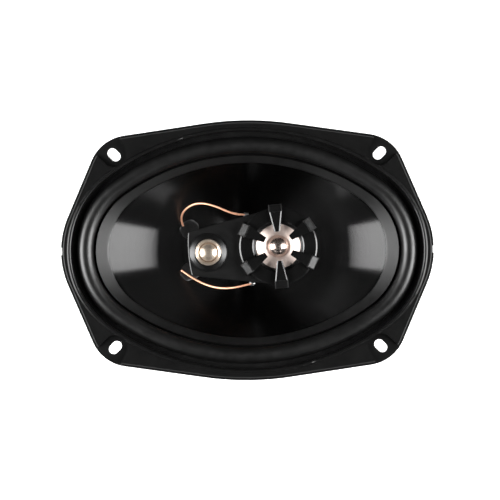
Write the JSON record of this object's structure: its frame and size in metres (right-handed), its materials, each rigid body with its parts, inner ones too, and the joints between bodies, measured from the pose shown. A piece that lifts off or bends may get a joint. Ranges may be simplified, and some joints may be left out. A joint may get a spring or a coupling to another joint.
{
  "type": "coaxial car speaker",
  "caption": "Oval coaxial car loudspeaker: stamped basket, ring magnet, roll surround and cone, with a bridge that carries a clawed midrange and a dome tweeter.",
  "frame": {"origin": "centre of the oval flange on the mounting plane, which is the flange's back face", "axes": "+Z along the speaker axis towards the listener, +X along the long axis of the oval, +Y up in the front view"},
  "size_m": [0.236, 0.1646, 0.0935],
  "materials": {
    "painted_steel": "satin black paint on stamped steel",
    "trim_plastic": "fine-grained black moulding",
    "surround_rubber": "satin black rubber",
    "cone_poly": "black injection moulded cone with fine rings",
    "patch_adhesive": "rough black adhesive",
    "coil_copper": "enamelled copper wire",
    "lead_copper": "braided bare copper",
    "tinned_brass": "tinned",
    "former_kapton": "polyimide film",
    "spider_cloth": "resin-treated woven cotton",
    "plated_steel": "zinc plated",
    "ferrite": "ground ferrite",
    "neodymium": "nickel plated magnet",
    "bridge_plastic": "black moulded plastic",
    "gloss_black": "semi-gloss black moulding",
    "champagne_metal": "champagne anodised, polished",
    "metallised_film": "metallised film, champagne",
    "capacitor_sleeve": "shrink sleeve",
    "board_laminate": "paper laminate"
  },
  "bodies": {
    "frame": {"basket": "painted_steel", "basket_rivets": "plated_steel", "front_gasket": "trim_plastic", "surround": "surround_rubber", "spider": "spider_cloth", "top_plate": "plated_steel", "magnet_ring": "ferrite", "yoke": "plated_steel", "motor_screw": "plated_steel", "bridge_post": "plated_steel", "bridge_plate": "bridge_plastic", "bridge_screw": "plated_steel", "lead_tag_upper": "tinned_brass", "lead_tag_lower": "tinned_brass", "mid_capacitor": "capacitor_sleeve", "tweeter_capacitor": "capacitor_sleeve", "mid_grille": "bridge_plastic", "mid_basket": "bridge_plastic", "mid_surround": "surround_rubber", "mid_magnet": "neodymium", "mid_pole_piece": "plated_steel", "mid_yoke": "plated_steel", "tweeter_housing": "gloss_black", "tweeter_ring": "champagne_metal", "tweeter_suspension": "metallised_film", "tweeter_magnet": "neodymium", "tweeter_pole_piece": "plated_steel", "tweeter_yoke": "plated_steel", "terminal_board": "board_laminate", "terminal_rivets": "plated_steel", "positive_terminal": "tinned_brass", "negative_terminal": "tinned_brass", "front_lead_upper": "lead_copper", "front_lead_lower": "lead_copper", "rear_lead_positive": "lead_copper", "rear_lead_negative": "lead_copper"},
    "cone_assembly": {"woofer_cone": "cone_poly", "voice_coil_former": "former_kapton", "voice_coil_winding": "coil_copper", "lead_patch_upper": "patch_adhesive", "lead_patch_lower": "patch_adhesive"},
    "mid_diaphragm": {"mid_cone": "champagne_metal", "mid_dome": "champagne_metal", "mid_voice_coil": "coil_copper"},
    "tweeter_diaphragm": {"tweeter_dome": "champagne_metal", "tweeter_voice_coil": "coil_copper"}
  },
  "joints": [
    {"name": "cone_travel", "type": "slide", "parent": "frame", "child": "cone_assembly", "axis": [0, 0, 1], "range_m": [-0.005, 0.005], "stiffness_N_per_m": 3000, "deforming": ["surround", "spider", "front_lead_upper", "front_lead_lower", "rear_lead_positive", "rear_lead_negative"]},
    {"name": "mid_cone_travel", "type": "slide", "parent": "frame", "child": "mid_diaphragm", "axis": [0, 0, 1], "range_m": [-0.0005, 0.0005], "stiffness_N_per_m": 500, "deforming": ["mid_surround"]},
    {"name": "tweeter_dome_travel", "type": "slide", "parent": "frame", "child": "tweeter_diaphragm", "axis": [0, 0, 1], "range_m": [-0.0002, 0.0002], "stiffness_N_per_m": 200, "deforming": ["tweeter_suspension"]}
  ]
}
